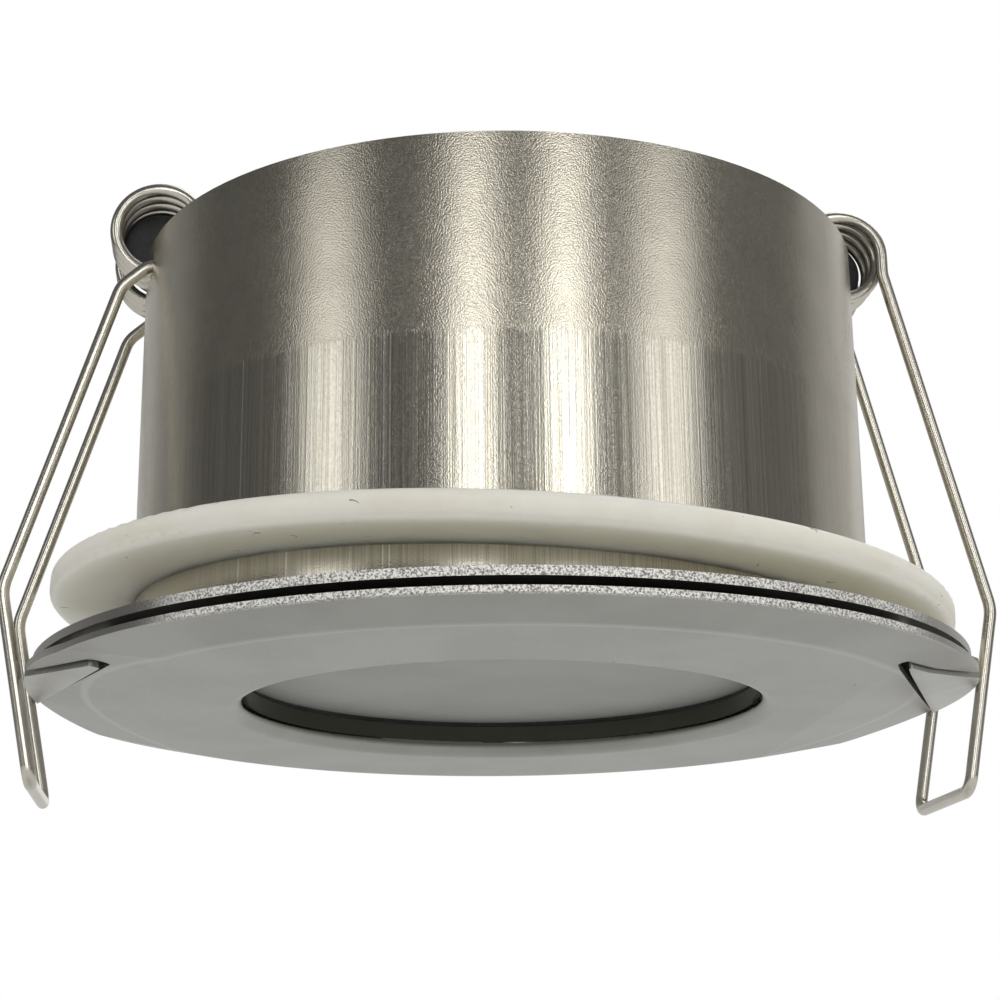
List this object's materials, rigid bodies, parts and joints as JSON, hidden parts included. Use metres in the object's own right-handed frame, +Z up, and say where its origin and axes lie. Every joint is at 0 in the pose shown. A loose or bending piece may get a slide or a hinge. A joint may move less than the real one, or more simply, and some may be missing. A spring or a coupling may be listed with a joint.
{
  "type": "soffit downlight",
  "caption": "Recessed round soffit downlight: flanged steel can, flat bezel with frosted glass, loose silicone ceiling gasket and sprung wire clips that swing out to grip the board.",
  "frame": {"origin": "on the can's axis, at the top of the flange that the ceiling rests on", "axes": "+Z up into the ceiling along the can's axis; the two spring clips lie on -X and +X"},
  "size_m": [0.0948, 0.09, 0.0612],
  "materials": {
    "can_steel": "satin, drawn vertical scratches on the lower half",
    "bezel_steel": "fine satin, bright sheared edge",
    "spring_steel": "drawn spring wire",
    "fastener_steel": "plain",
    "silicone": "translucent cream white",
    "frosted_glass": "frosted",
    "turned_aluminium": "turned",
    "white_plastic": "matte",
    "white_board": "white solder mask",
    "led_phosphor": "clear over yellow",
    "grey_pad": "soft",
    "green_board": "solder mask",
    "green_plastic": "moulded",
    "screw_brass": "plated",
    "capacitor_sleeve": "shrink sleeve",
    "ferrite": "pressed powder",
    "lead_jacket": "silicone jacket",
    "gland_nylon": "moulded black nylon",
    "black_rubber": "moulded"
  },
  "bodies": {
    "housing": {"can_shell": "can_steel", "face_bezel": "bezel_steel", "front_glass": "frosted_glass", "front_glass_seal": "black_rubber", "rear_glass_seal": "black_rubber", "glass_clamp_ring": "turned_aluminium", "clamp_studs": "fastener_steel", "clamp_washers": "fastener_steel", "clamp_nuts": "fastener_steel", "ceiling_gasket": "silicone", "reflector": "white_plastic", "led_board": "white_board", "led_chips": "led_phosphor", "led_board_screws": "fastener_steel", "thermal_pad": "grey_pad", "heat_sink": "turned_aluminium", "led_leads": "lead_jacket", "driver_board": "green_board", "driver_standoffs": "fastener_steel", "driver_screws": "fastener_steel", "terminal_block": "green_plastic", "terminal_screws": "screw_brass", "driver_capacitor": "capacitor_sleeve", "driver_inductor": "ferrite", "rear_cover": "fastener_steel", "rear_cover_screws": "fastener_steel", "rear_cover_seal": "black_rubber", "gland_body": "gland_nylon", "gland_washer": "black_rubber", "gland_locknut": "gland_nylon", "gland_bush": "black_rubber", "gland_cap": "gland_nylon"},
    "left_clip": {"left_spring_clip": "spring_steel"},
    "right_clip": {"right_spring_clip": "spring_steel"}
  },
  "joints": [
    {"name": "left_clip_hinge", "type": "hinge", "parent": "housing", "child": "left_clip", "pos_m": [-0.034, 0, 0.0426], "axis": [0, 1, 0], "range_deg": [0, 155], "stiffness_Nm_per_rad": 0.12, "springref_deg": -20.05},
    {"name": "right_clip_hinge", "type": "hinge", "parent": "housing", "child": "right_clip", "pos_m": [0.034, 0, 0.0426], "axis": [0, -1, 0], "range_deg": [0, 155], "stiffness_Nm_per_rad": 0.12, "springref_deg": -20.05}
  ]
}
